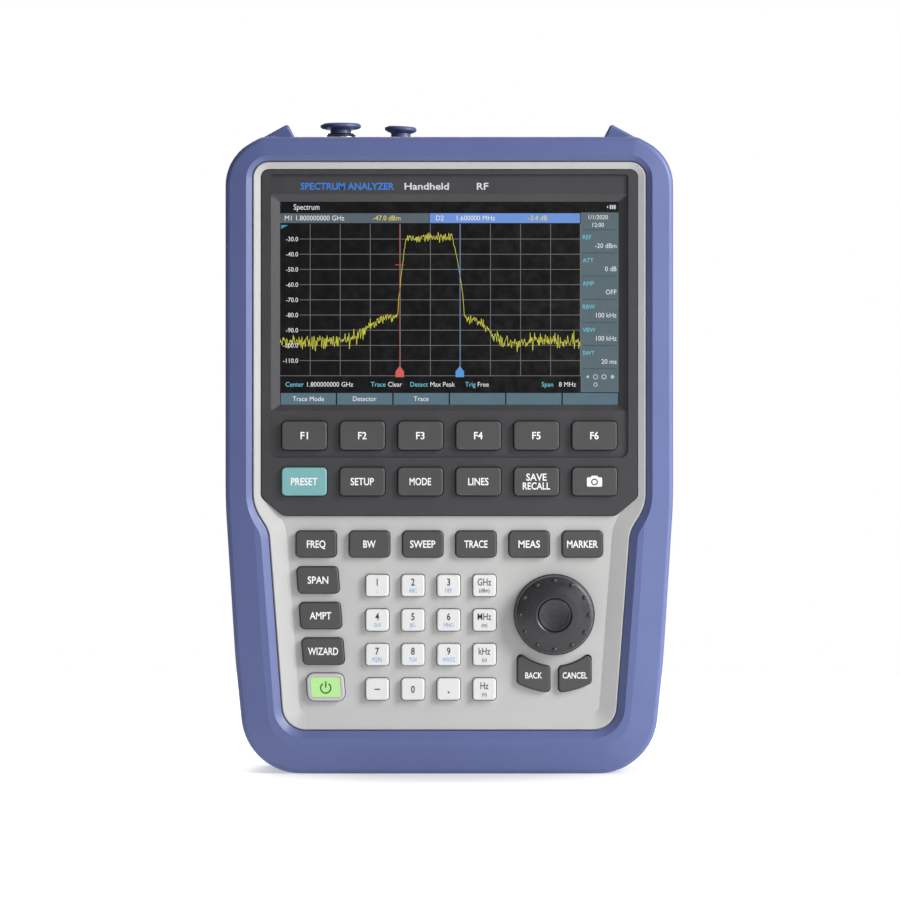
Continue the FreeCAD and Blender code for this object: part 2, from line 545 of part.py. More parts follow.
def trigger_connector():
    """BNC jack, through the deck of the connector well."""
    profile = [(0, 262), (4.0, 262), (4.0, 266), (6.8, 266), (6.8, DECK_Z - WALL), (BNC_R, DECK_Z - WALL),
               (BNC_R, BNC_TOP_Z - 0.6), (BNC_R - 0.5, BNC_TOP_Z), (4.06, BNC_TOP_Z), (4.06, 277.5), (0, 277.5)]
    jack = turned(profile, Vector(BNC_X, CONNECTOR_Y, 0), Vector(0, 0, 1))
    contact = rod_z(BNC_X, CONNECTOR_Y, 1.1, 277, 285.8).cut(rod_z(BNC_X, CONNECTOR_Y, 0.6, 280, 287))
    lug_z = BNC_TOP_Z - 3.9
    lugs = [rod_x(CONNECTOR_Y, lug_z, 0.95, BNC_X + 4.3, BNC_X + 5.6),
            rod_x(CONNECTOR_Y, lug_z, 0.95, BNC_X - 5.6, BNC_X - 4.3)]
    return jack.fuse([contact, hex_nut(BNC_X, 14.0, DECK_Z, NUT_H)] + lugs)


def push_cap(x, disc_r, top_z, neck_r, neck_z, plug_r, plug_hole_r, plug_z, tilt):
    """Soft dust cap: a thumb disc on a neck over a hollow plug."""
    disc = turned([(0, -2.8), (neck_r + 0.6, -2.8), (disc_r - 0.7, -2.1), (disc_r, -1.5), (disc_r, -0.6),
                   (disc_r - 0.6, 0), (0, 0)], Vector(0, 0, 0), Vector(0, 0, 1))
    disc.Placement = FreeCAD.Placement(Vector(x, CONNECTOR_Y, top_z), FreeCAD.Rotation(Vector(0, 1, 0), tilt))
    neck = rod_z(x, CONNECTOR_Y, neck_r, neck_z, top_z - 1.5)
    plug = rod_z(x, CONNECTOR_Y, plug_r, plug_z, neck_z + 0.2).cut(
        rod_z(x, CONNECTOR_Y, plug_hole_r, plug_z - 1, neck_z - 0.4))
    return disc.fuse([neck, plug])


def cover_screws():
    screws = []
    for x, z in SCREW_PLACES:
        for s in (-1, 1):
            head = rod_y(s * x, z, 2.9, 24.0, 26.2)
            head = head.makeFillet(0.5, edges_at_y(head, 26.2))
            slot = prism([(px, pz, 0) for px, pz in hexagon(s * x, z, 1.25)], 25.0, 27)
            shank = rod_y(s * x, z, 1.2, BOSS_END_Y - 8, 24.2)
            screws.append(head.fuse(shank).cut(slot))
    return Part.makeCompound(screws)


def hexagon(x, z, radius):
    return [(x + radius * math.cos(math.radians(-a)), z + radius * math.sin(math.radians(-a)))
            for a in range(0, 360, 60)]


def main():
    os.makedirs("parts", exist_ok=True)
    save("protective_bumper", protective_bumper())
    save("front_bezel", front_bezel())
    save("control_panel", control_panel())
    save("display_window", prism(symmetric(WINDOW), *WINDOW_Y))
    save("lcd_module", prism(symmetric(LCD), *LCD_Y))
    save("keypad_mat", keypad_mat())
    save("keypad_board", keypad_board())
    save("main_board", main_board())
    save("rear_cover", rear_cover())
    save("battery_pack", battery_pack())
    save("battery_lid", battery_lid())
    save("cover_screws", cover_screws())
    save("rf_connector", rf_connector())
    save("trigger_connector", trigger_connector())
    save("rf_cap", push_cap(RF_X, 9.3, 295.6, 4.75, RF_TOP_Z + 0.2, 4.1, 2.3, 284.1, 0))
    save("trigger_cap", push_cap(BNC_X, 7.3, 294.2, 4.5, BNC_TOP_Z + 0.2, 3.95, 1.8, 282.3, 3))
    save("service_door", service_door())
    save("kickstand", kickstand())
    save("tuning_knob", knob())
    save("enter_button", enter_button())
    for k in KEYS:
        save(k["name"], key_solid(k))


main()
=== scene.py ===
import bpy
import bmesh
import json
import math
import random
from mathutils import Matrix, Vector


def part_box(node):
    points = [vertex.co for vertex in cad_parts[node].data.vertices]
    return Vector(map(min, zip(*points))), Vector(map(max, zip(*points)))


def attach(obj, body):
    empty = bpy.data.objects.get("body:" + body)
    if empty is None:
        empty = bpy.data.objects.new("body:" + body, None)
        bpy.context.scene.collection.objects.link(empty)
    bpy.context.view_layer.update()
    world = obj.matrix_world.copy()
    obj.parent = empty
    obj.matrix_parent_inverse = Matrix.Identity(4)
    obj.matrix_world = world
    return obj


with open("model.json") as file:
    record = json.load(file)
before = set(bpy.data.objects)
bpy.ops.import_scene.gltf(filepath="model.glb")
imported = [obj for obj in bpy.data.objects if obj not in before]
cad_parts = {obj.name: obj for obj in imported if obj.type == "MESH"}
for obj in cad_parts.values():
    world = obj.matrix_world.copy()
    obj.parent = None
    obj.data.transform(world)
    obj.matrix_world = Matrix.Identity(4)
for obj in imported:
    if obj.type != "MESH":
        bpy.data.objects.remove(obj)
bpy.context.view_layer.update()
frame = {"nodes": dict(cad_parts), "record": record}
NODES = frame["nodes"]
MM = 0.001

# ---- print on the keys, in millimetres ----
PRINT_SINK = 0.02           # a printed plate's back, inside the key cap
PRINT_RISE = 0.05           # its front, off the key cap
LEGEND_HEIGHT = 3.2         # capitals on the dark keys
TWO_LINE_HEIGHT = 3.1       # capitals where a key has two lines
TWO_LINE_OFFSET = 2.0       # from the key's middle to each of those lines
CURVED_KEY_HEIGHT = 2.7     # capitals on the two curved keys
CURVED_KEY_DROP = 1.2       # how far their words sit under the middle
DIGIT_HEIGHT = 3.1          # digits and units on the white keys
DIGIT_RISE = 1.6            # from the middle of a white key up to its digit
LETTERS_DROP = 2.2          # and down to the small letters

# ---- camera: straight on, level with the middle of the instrument ----
CAMERA_DISTANCE = 1.8       # from the keypad's front faces
VIEW_WIDTH = 0.4055         # width of the picture at that distance
CAMERA_HEIGHT = 0.1459
CAMERA_X = 0.0003
SENSOR = 36.0


# ------------------------------------------------------------------ materials
def srgb(r, g, b):
    """Linear colour from 0 to 255 display values."""
    def linear(value):
        c = value / 255
        return c / 12.92 if c <= 0.04045 else ((c + 0.055) / 1.055) ** 2.4
    return (linear(r), linear(g), linear(b), 1.0)


def scaled(colour, factor):
    return tuple(min(1.0, c * factor) for c in colour[:3]) + (1.0,)


def noise(nodes, links, coords, scale, detail=2.0):
    texture = nodes.new("ShaderNodeTexNoise")
    texture.inputs["Scale"].default_value = scale
    texture.inputs["Detail"].default_value = detail
    links.new(coords.outputs["Object"], texture.inputs["Vector"])
    return texture.outputs["Fac"]


def mapped(nodes, links, value, low, high):
    """The value's middle range stretched to low..high."""
    node = nodes.new("ShaderNodeMapRange")
    node.inputs["From Min"].default_value = 0.3
    node.inputs["From Max"].default_value = 0.7
    node.inputs["To Min"].default_value = low
    node.inputs["To Max"].default_value = high
    links.new(value, node.inputs["Value"])
    return node.outputs["Result"]


def moulded(name, colour, rough=0.5, grain=2600, bump=0.12, shade=0.05, rough_spread=0.06,
            metallic=0.0, specular=0.5):
    """A moulded or coated surface: fine grain, slightly uneven gloss, faint shade variation."""
    material = bpy.data.materials.new(name)
    material.use_nodes = True
    nodes, links = material.node_tree.nodes, material.node_tree.links
    shader = nodes["Principled BSDF"]
    shader.inputs["Metallic"].default_value = metallic
    shader.inputs["Specular IOR Level"].default_value = specular
    coords = nodes.new("ShaderNodeTexCoord")
    mix = nodes.new("ShaderNodeMix")
    mix.data_type = "RGBA"
    mix.inputs["A"].default_value = scaled(colour, 1 - shade)
    mix.inputs["B"].default_value = scaled(colour, 1 + shade)
    cloud = mapped(nodes, links, noise(nodes, links, coords, 38, 3), 0, 1)
    links.new(cloud, mix.inputs["Factor"])
    links.new(mix.outputs["Result"], shader.inputs["Base Color"])
    gloss = noise(nodes, links, coords, 260, 3)
    links.new(mapped(nodes, links, gloss, rough - rough_spread, rough + rough_spread),
              shader.inputs["Roughness"])
    fine = nodes.new("ShaderNodeBump")
    fine.inputs["Strength"].default_value = bump
    fine.inputs["Distance"].default_value = 0.00008
    links.new(noise(nodes, links, coords, grain, 2), fine.inputs["Height"])
    links.new(fine.outputs["Normal"], shader.inputs["Normal"])
    return material


def threaded_metal(name, colour, pitch):
    """Plated metal with turned thread lines round the Z axis."""
    material = moulded(name, colour, rough=0.2, grain=900, bump=0.03, rough_spread=0.05, metallic=1.0)
    nodes, links = material.node_tree.nodes, material.node_tree.links
    wave = nodes.new("ShaderNodeTexWave")
    wave.bands_direction = "Z"
    wave.inputs["Scale"].default_value = 1 / pitch / 3.2
    wave.inputs["Distortion"].default_value = 0.0
    coords = next(n for n in nodes if n.bl_idname == "ShaderNodeTexCoord")
    links.new(coords.outputs["Object"], wave.inputs["Vector"])
    bump = nodes.new("ShaderNodeBump")
    bump.inputs["Strength"].default_value = 0.5
    bump.inputs["Distance"].default_value = 0.0003
    links.new(wave.outputs["Fac"], bump.inputs["Height"])
    shader = nodes["Principled BSDF"]
    links.new(bump.outputs["Normal"], shader.inputs["Normal"])
    return material


def board(name, green, plastic, socket_start):
    """Solder mask over the middle, black socket housings beyond socket_start metres to either side."""
    material = moulded(name, green, rough=0.3, grain=700, bump=0.2, shade=0.15)
    nodes, links = material.node_tree.nodes, material.node_tree.links
    coords = next(n for n in nodes if n.bl_idname == "ShaderNodeTexCoord")
    split = nodes.new("ShaderNodeSeparateXYZ")
    links.new(coords.outputs["Object"], split.inputs["Vector"])
    size = nodes.new("ShaderNodeMath")
    size.operation = "ABSOLUTE"
    links.new(split.outputs["X"], size.inputs[0])
    outside = nodes.new("ShaderNodeMath")
    outside.operation = "GREATER_THAN"
    outside.inputs[1].default_value = socket_start
    links.new(size.outputs["Value"], outside.inputs[0])
    mix = nodes.new("ShaderNodeMix")
    mix.data_type = "RGBA"
    mix.inputs["B"].default_value = plastic
    shader = nodes["Principled BSDF"]
    links.new(shader.inputs["Base Color"].links[0].from_socket, mix.inputs["A"])
    links.new(outside.outputs["Value"], mix.inputs["Factor"])
    links.new(mix.outputs["Result"], shader.inputs["Base Color"])
    return material


def glowing(name, colour, strength=1.0, base=0.02):
    """Lit display colour: the glow varies very slightly over the surface, like a backlight."""
    material = moulded(name, scaled(colour, base), rough=0.22, bump=0.0, shade=0.02)
    nodes, links = material.node_tree.nodes, material.node_tree.links
    shader = nodes["Principled BSDF"]
    coords = next(n for n in nodes if n.bl_idname == "ShaderNodeTexCoord")
    mix = nodes.new("ShaderNodeMix")
    mix.data_type = "RGBA"
    mix.inputs["A"].default_value = scaled(colour, 0.96)
    mix.inputs["B"].default_value = colour
    links.new(mapped(nodes, links, noise(nodes, links, coords, 20), 0, 1), mix.inputs["Factor"])
    links.new(mix.outputs["Result"], shader.inputs["Emission Color"])
    shader.inputs["Emission Strength"].default_value = strength
    return material


BLUE = srgb(88, 99, 147)
MATERIALS = {
    "bumper": moulded("bumper_elastomer", BLUE, rough=0.46, grain=2300, bump=0.10, shade=0.03),
    "cap": moulded("cap_elastomer", scaled(BLUE, 0.8), rough=0.38, grain=1800, bump=0.08),
    "bezel": moulded("grey_moulding", srgb(184, 184, 183), rough=0.42, grain=3200, bump=0.10, shade=0.02),
    "panel": moulded("panel_moulding", srgb(57, 57, 60), rough=0.44, grain=3600, bump=0.14),
    "dark_key": moulded("dark_key_cap", srgb(70, 70, 70), rough=0.42, grain=3000, bump=0.10),
    "white_key": moulded("white_key_cap", srgb(218, 218, 218), rough=0.34, grain=3000, bump=0.05,
                         shade=0.015),
    "preset_key": moulded("teal_key_cap", srgb(118, 170, 172), rough=0.38, grain=3000, bump=0.07,
                          shade=0.03),
    "power_key": moulded("power_key_surround", srgb(186, 182, 187), rough=0.36, grain=2600, bump=0.05),
    "display_glass": moulded("cover_glass", srgb(14, 14, 16), rough=0.16, grain=300, bump=0.01, shade=0.1,
                             rough_spread=0.02),
    "lcd": moulded("display_frame", srgb(170, 172, 175), rough=0.35, grain=900, bump=0.05, metallic=1.0),
    "knob": moulded("knob_plastic", srgb(47, 47, 50), rough=0.3, grain=2400, bump=0.06),
    "mat": moulded("silicone", srgb(160, 160, 162), rough=0.55, grain=1800, bump=0.1),
    "circuit_board": board("solder_mask", srgb(30, 98, 54), srgb(30, 30, 32), 0.078),
    "rear_plastic": moulded("rear_moulding", srgb(124, 125, 128), rough=0.5, grain=1500, bump=0.25),
    "battery": moulded("battery_case", srgb(46, 46, 50), rough=0.45, grain=2000, bump=0.15),
    "stand": moulded("stand_plastic", srgb(52, 52, 55), rough=0.48, grain=1300, bump=0.25),
    "steel": moulded("plated_steel", srgb(178, 178, 182), rough=0.28, grain=1400, bump=0.06, metallic=1.0),
    "nickel": threaded_metal("nickel_plate", srgb(205, 203, 196), 0.00106),
}
WHITE_INK = moulded("white_print", srgb(240, 240, 240), rough=0.5, bump=0.02, shade=0.02)
DARK_INK = moulded("dark_print", srgb(38, 38, 40), rough=0.5, bump=0.02)
BLUE_INK = moulded("blue_print", srgb(104, 160, 208), rough=0.5, bump=0.02)
GOLD = moulded("gold_contacts", srgb(214, 176, 92), rough=0.25, grain=900, bump=0.03, metallic=1.0)
SOCKET_BLACK = moulded("socket_plastic", srgb(26, 26, 28), rough=0.4, grain=1500, bump=0.1)


def dress_cad_nodes():
    for entry in frame["record"]["subparts"]:
        for slot in NODES[entry["node"]].material_slots:
            slot.material = MATERIALS[entry["material_slot"]]


# ------------------------------------------------------------------ mesh tools
def piece(name, mesh, material, body):
    """One visible piece that rides on a CAD body."""
    mesh.materials.clear()
    mesh.materials.append(material)
    made = bpy.data.objects.new(name, mesh)
    bpy.context.scene.collection.objects.link(made)
    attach(made, body)
    return made


def merged(name, meshes):
    shape = bmesh.new()
    for mesh in meshes:
        shape.from_mesh(mesh)
    result = bpy.data.meshes.new(name)
    shape.to_mesh(result)
    shape.free()
    return result


def extruded(outline, y_back, y_front):
    """Closed plate from an (x, z) outline in millimetres, between two depths."""
    shape = bmesh.new()
    front = [shape.verts.new((x * MM, y_front * MM, z * MM)) for x, z in outline]
    back = [shape.verts.new((x * MM, y_back * MM, z * MM)) for x, z in outline]
    shape.faces.new(front)
    shape.faces.new(list(reversed(back)))
    count = len(outline)
    for i in range(count):
        j = (i + 1) % count
        shape.faces.new((front[j], front[i], back[i], back[j]))
    bmesh.ops.recalc_face_normals(shape, faces=shape.faces)
    mesh = bpy.data.meshes.new("plate")
    shape.to_mesh(mesh)
    shape.free()
    return mesh


def rectangle(x0, x1, z0, z1):
    return [(x0, z0), (x1, z0), (x1, z1), (x0, z1)]


def rounded(x0, x1, z0, z1, radius, steps=6):
    outline = []
    corners = [(x1 - radius, z1 - radius, 0), (x0 + radius, z1 - radius, 90),
               (x0 + radius, z0 + radius, 180), (x1 - radius, z0 + radius, 270)]
    for cx, cz, start in corners:
        for i in range(steps + 1):
            angle = math.radians(start + 90 * i / steps)
            outline.append((cx + radius * math.cos(angle), cz + radius * math.sin(angle)))
    return outline


ALMOST_FULL_TURN = 359.9     # leaves a closed ring its two ends


def arc_band(cx, cz, inner, outer, start, end, steps=40):
    """Outline of part of a ring, in degrees counter-clockwise from +X."""
    angles = [math.radians(start + (end - start) * i / steps) for i in range(steps + 1)]
    outside = [(cx + outer * math.cos(a), cz + outer * math.sin(a)) for a in angles]
    inside = [(cx + inner * math.cos(a), cz + inner * math.sin(a)) for a in reversed(angles)]
    return outside + inside


def lettering(text, x, z, y, height, width=None, narrow=0.7, bold=0.03, align="CENTER", depth=0.05):
    """Raised text facing -Y; x is its centre or left end, z its middle and height a capital's."""
    size = height / 0.69
    curve = bpy.data.curves.new("lettering", "FONT")
    curve.body = text
    curve.size = size
    curve.offset = bold * size * 0.5
    curve.extrude = depth / 2
    curve.resolution_u = 3
    holder = bpy.data.objects.new("lettering", curve)
    bpy.context.scene.collection.objects.link(holder)
    bpy.context.view_layer.update()
    mesh = bpy.data.meshes.new_from_object(holder.evaluated_get(bpy.context.evaluated_depsgraph_get()))
    bpy.data.objects.remove(holder)
    bpy.data.curves.remove(curve)
    left = min(v.co.x for v in mesh.vertices)
    right = max(v.co.x for v in mesh.vertices)
    stretch = width / (right - left) if width else narrow
    origin = {"CENTER": (left + right) / 2, "LEFT": left, "RIGHT": right}[align]
    for v in mesh.vertices:
        v.co = Vector(((x + (v.co.x - origin) * stretch) * MM, (y - depth / 2 - v.co.z) * MM,
                       (z + v.co.y - height / 2) * MM))
    return mesh


# ------------------------------------------------------------------ key legends
def key_front(node):
    """Centre and front plane of a key cap, in millimetres."""
    low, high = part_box(node)
    return (low[0] + high[0]) * 500, (low[2] + high[2]) * 500, low[1] * 1000


def dark_key_legends():
    widths = {"f1": 3.4, "f2": 3.8, "f3": 3.8, "f4": 3.9, "f5": 3.8, "f6": 3.8, "preset": 12.0,
              "setup": 10.5, "mode": 9.7, "lines": 9.2, "freq": 8.4, "bw": 5.6, "sweep": 11.4,
              "trace": 10.5, "meas": 9.7, "marker": 13.9, "span": 9.3, "ampt": 9.7, "wizard": 13.6}
    for key, width in widths.items():
        node = "key_" + key
        x, z, y = key_front(node)
        legend = lettering(key.upper(), x, z, y, LEGEND_HEIGHT, width)
        piece("legend_" + key, legend, WHITE_INK, node)
    x, z, y = key_front("key_save")
    two_lines = [lettering("SAVE", x, z + TWO_LINE_OFFSET, y, TWO_LINE_HEIGHT, 9.2),
                 lettering("RECALL", x, z - TWO_LINE_OFFSET, y, TWO_LINE_HEIGHT, 12.3)]
    piece("legend_save", merged("legend_save", two_lines), WHITE_INK, "key_save")
    for key, width in (("back", 7.6), ("cancel", 11.1)):
        node = "key_" + key
        x, z, y = key_front(node)
        legend = lettering(key.upper(), x, z - CURVED_KEY_DROP, y, CURVED_KEY_HEIGHT, width)
        piece("legend_" + key, legend, WHITE_INK, node)


def camera_symbol():
    x, z, y = key_front("key_camera")
    case = extruded(rounded(x - 3.4, x + 3.4, z - 2.3, z + 1.9, 0.6), y + PRINT_SINK, y - PRINT_RISE)
    hump = extruded(rounded(x - 1.5, x + 1.5, z + 1.6, z + 2.6, 0.3), y + PRINT_SINK, y - 0.045)
    piece("camera_symbol", merged("camera_symbol", [case, hump]), WHITE_INK, "key_camera")
    ring = extruded(arc_band(x, z - 0.2, 1.0, 1.55, 0, ALMOST_FULL_TURN), y - 0.04, y - 0.075)
    piece("camera_symbol_lens", ring, DARK_INK, "key_camera")


def digit(text, x, z, y):
    return lettering(text, x, z, y, DIGIT_HEIGHT, narrow=0.8)


def number_key_legends():
    letters = {"1": ".,:", "2": "ABC", "3": "DEF", "4": "GHI", "5": "JKL", "6": "MNO", "7": "PQRS",
               "8": "TUV", "9": "WXYZ"}
    units = {"ghz": ("GHz", "(dBm)"), "mhz": ("MHz", "(m)"), "khz": ("kHz", "(u)"), "hz": ("Hz", "(n)")}
    for key, small in letters.items():
        node = "key_" + key
        x, z, y = key_front(node)
        piece("digit_" + key, digit(key, x, z + DIGIT_RISE, y), DARK_INK, node)
        below = lettering(small, x, z - LETTERS_DROP, y, 1.85, narrow=0.72, bold=0.0)
        piece("letters_" + key, below, BLUE_INK, node)
    for key, (unit, small) in units.items():
        node = "key_" + key
        x, z, y = key_front(node)
        both = [lettering(unit, x, z + DIGIT_RISE, y, DIGIT_HEIGHT, narrow=0.74, bold=0.012),
                lettering(small, x, z - LETTERS_DROP, y, 1.75, narrow=0.78, bold=0.01)]
        piece("unit_" + key, merged("unit_" + key, both), DARK_INK, node)
    x, z, y = key_front("key_0")
    piece("digit_0", digit("0", x, z, y), DARK_INK, "key_0")
    x, z, y = key_front("key_minus")
    dash = extruded(rounded(x - 1.25, x + 1.25, z - 0.3, z + 0.25, 0.12), y + PRINT_SINK, y - PRINT_RISE)
    piece("digit_minus", dash, DARK_INK, "key_minus")
    x, z, y = key_front("key_point")
    dot = extruded(rounded(x - 0.38, x + 0.38, z - 1.8, z - 1.04, 0.3), y + PRINT_SINK, y - PRINT_RISE)
    piece("digit_point", dot, DARK_INK, "key_point")


def power_window():
    """Green lit window let into the power key, with its symbol."""
    x, z, y = key_front("key_power")
    lean = 0.073            # sideways millimetres per millimetre of height
    half_w, half_h = 6.75, 4.55
    window_back, window_front = 0.38, 0.12      # behind the key's front
    ink_back, ink_front = 0.14, 0.08
    outline = [(px - lean * (pz - z), pz) for px, pz in
               rounded(x - half_w, x + half_w, z - half_h, z + half_h, 0.9)]
    green = glowing("power_window_glow", srgb(166, 212, 138), 0.38, base=0.8)
    plate = extruded(outline, y + window_back, y + window_front)
    window = piece("power_window", plate, green, "key_power")
    edge = window.modifiers.new("edge", "BEVEL")
    edge.width = 0.15 * MM
    edge.segments = 2
    dark_green = moulded("power_symbol_ink", srgb(22, 104, 36), rough=0.4, bump=0.02)
    ring = extruded(arc_band(x, z - 0.35, 1.95, 2.6, 125, 415), y + ink_back, y + ink_front)
    bar = extruded(rounded(x - 0.32, x + 0.32, z - 0.2, z + 2.7, 0.25), y + ink_back, y + ink_front)
    piece("power_symbol", merged("power_symbol", [ring, bar]), dark_green, "key_power")


# ------------------------------------------------------------------ display contents
SCREEN_LOW, SCREEN_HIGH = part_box("display_window")
SCREEN_EDGE = 2.0           # how far the cover glass runs under the panel on every side
SCREEN_X = (SCREEN_LOW[0] * 1000 + SCREEN_EDGE, SCREEN_HIGH[0] * 1000 - SCREEN_EDGE)
SCREEN_Z = (SCREEN_LOW[2] * 1000 + SCREEN_EDGE, SCREEN_HIGH[2] * 1000 - SCREEN_EDGE)
SCREEN_Y = SCREEN_LOW[1] * 1000
TITLE_END, MARKER_END, GRID_END, KEYS_START = 0.0530, 0.1090, 0.8580, 0.9390
SIDE_START = 0.888
TOP_LEVEL, LEVEL_SPAN = -20.0, 100.0
MARKER_1, MARKER_2 = 0.398, 0.598
SIDE_STEP = 0.1142          # from one side panel row to the next
SCREEN_SINK = 0.01          # back of every screen mark, inside the cover glass, in mm
LAYER_RISE = 0.02           # thickness of one layer of marks, in mm
BOTTOM_ROW = 0.900          # the row of settings under the grid


def across(u):
    """Millimetre x of a place on the screen, from 0 at the left to 1 at the right."""
    return SCREEN_X[0] + u * (SCREEN_X[1] - SCREEN_X[0])


def down(v):
    """Millimetre z of a place on the screen, from 0 at the top to 1 at the bottom."""
    return SCREEN_Z[1] - v * (SCREEN_Z[1] - SCREEN_Z[0])


def level(db):
    return down(MARKER_END + (TOP_LEVEL - db) / LEVEL_SPAN * (GRID_END - MARKER_END))


def screen_mark(outline, painted_shadow_ramp):
    """Thin plate on the screen, its front a given number of millimetres off the cover glass."""
    return extruded(outline, SCREEN_Y + SCREEN_SINK, SCREEN_Y - painted_shadow_ramp)


def screen_plate(u0, u1, v0, v1, layer=1):
    return screen_mark(rectangle(across(u0), across(u1), down(v1), down(v0)), LAYER_RISE * layer)


def screen_text(text, u, v, height=2.2, align="LEFT", narrow=0.95):
    return lettering(text, across(u), down(v), SCREEN_Y - 0.07, height, narrow=narrow, bold=0.0,
                     align=align, depth=0.02)


def screen_piece(name, meshes, material):
    piece(name, merged(name, meshes), material, "instrument")


def screen_bars():
    screen_piece("screen_backlight", [screen_plate(0, 1, 0, 1, 0.5)],
                 glowing("screen_black", srgb(15, 15, 17)))
    screen_piece("screen_side_panel", [screen_plate(SIDE_START, 1, TITLE_END, KEYS_START)],
                 glowing("screen_side_grey", srgb(90, 106, 113)))
    screen_piece("screen_marker_bar", [screen_plate(0, 0.44, TITLE_END + 0.004, MARKER_END - 0.004)],
                 glowing("screen_bar_grey", srgb(88, 98, 107)))
    screen_piece("screen_active_bar", [screen_plate(0.442, SIDE_START - 0.002, TITLE_END + 0.004,
                                                    MARKER_END - 0.004)],
                 glowing("screen_bar_blue", srgb(108, 146, 213)))
    cells = [screen_plate(i / 6 + 0.002, (i + 1) / 6 - 0.002, KEYS_START + 0.004, 1) for i in range(6)]
    screen_piece("screen_softkey_bar", cells, glowing("screen_softkey_grey", srgb(88, 112, 125)))
    breaks = [screen_plate(SIDE_START + 0.006, 0.994, v, v + 0.004, 2)
              for v in (0.136 + SIDE_STEP * i for i in range(7))]
    screen_piece("screen_side_breaks", breaks, glowing("screen_break_grey", srgb(66, 80, 88)))


def screen_grid():
    line = 0.0009
    columns = [SIDE_START * i / 10 for i in range(1, 10)]
    lines = [screen_plate(u - line, u + line, MARKER_END, GRID_END) for u in columns]
    for i in range(1, 11):
        v = MARKER_END + (GRID_END - MARKER_END) * i / 10
        start = 0.0 if i == 10 else 0.058
        lines.append(screen_plate(start, SIDE_START, v - 0.0015, v + 0.0015))
    lines.append(screen_plate(SIDE_START - 0.002, SIDE_START, MARKER_END, GRID_END))
    screen_piece("screen_grid", lines, glowing("screen_grid_grey", srgb(112, 112, 112)))


def trace_level(t, noise_source):
    """Signal level along the sweep: noise floor, rising skirt, flat-topped channel, falling skirt."""
    floor, shoulder, top = -97.5, -81.5, -29.0
    left, right = 0.398, 0.600
    if left + 0.022 < t < right - 0.026:
        return top + noise_source.gauss(0, 1.35)
    if left - 0.006 < t <= left + 0.022:
        painted_shadow_ramp = (t - left + 0.006) / 0.028
        return shoulder + 4 + (top - shoulder - 4) * painted_shadow_ramp ** 0.75 + noise_source.gauss(0, 1.0)
    if right - 0.026 <= t < right + 0.012:
        fall = (right + 0.012 - t) / 0.038
        return shoulder + 4 + (top - shoulder - 4) * fall ** 0.7 + noise_source.gauss(0, 1.0)
    if t <= left:
        painted_shadow_ramp = max(0.0, min(1.0, (t - 0.20) / 0.17))
    else:
        painted_shadow_ramp = max(0.0, min(1.0, (0.765 - t) / 0.155))
    smooth = painted_shadow_ramp * painted_shadow_ramp * (3 - 2 * painted_shadow_ramp)
    spread = 2.5 - 1.1 * smooth
    return floor + (shoulder - floor) * smooth + noise_source.gauss(0, spread)


def ribbon(points, half_width, layer):
    """Thin band along a line of (x, z) points, as one closed plate per step."""
    plates = []
    for (x0, z0), (x1, z1) in zip(points, points[1:]):
        length = math.hypot(x1 - x0, z1 - z0)
        nx, nz = -(z1 - z0) / length * half_width, (x1 - x0) / length * half_width
        step = [(x0 + nx, z0 + nz), (x0 - nx, z0 - nz), (x1 - nx, z1 - nz), (x1 + nx, z1 + nz)]
        plates.append(screen_mark(step, LAYER_RISE * layer))
    return plates


def screen_trace():
    chance = random.Random(7)
    steps = 620
    points = [(across(SIDE_START * i / steps), level(trace_level(i / steps, chance)))
              for i in range(steps + 1)]
    yellow = glowing("screen_trace_yellow", srgb(206, 204, 70))
    screen_piece("screen_trace", ribbon(points, 0.11, 2), yellow)


def marker(name, t, colour, tick_db):
    """Vertical marker line with a cross tick, and its pointed flag below the grid."""
    x = across(SIDE_START * t)
    bottom = down(GRID_END)
    tick_z = level(tick_db)
    line = screen_mark(rectangle(x - 0.13, x + 0.13, bottom, down(MARKER_END)), 0.05)
    tick = screen_mark(rectangle(x - 2.0, x + 2.0, tick_z - 0.2, tick_z + 0.2), 0.055)
    flag = [(x - 1.9, bottom - 0.6), (x + 1.9, bottom - 0.6), (x + 1.9, bottom + 2.0), (x, bottom + 4.4),
            (x - 1.9, bottom + 2.0)]
    screen_piece(name + "_line", [line, tick], glowing(name + "_dim", scaled(colour, 0.62)))
    screen_piece(name, [screen_mark(flag, 0.06)], glowing(name + "_glow", colour))


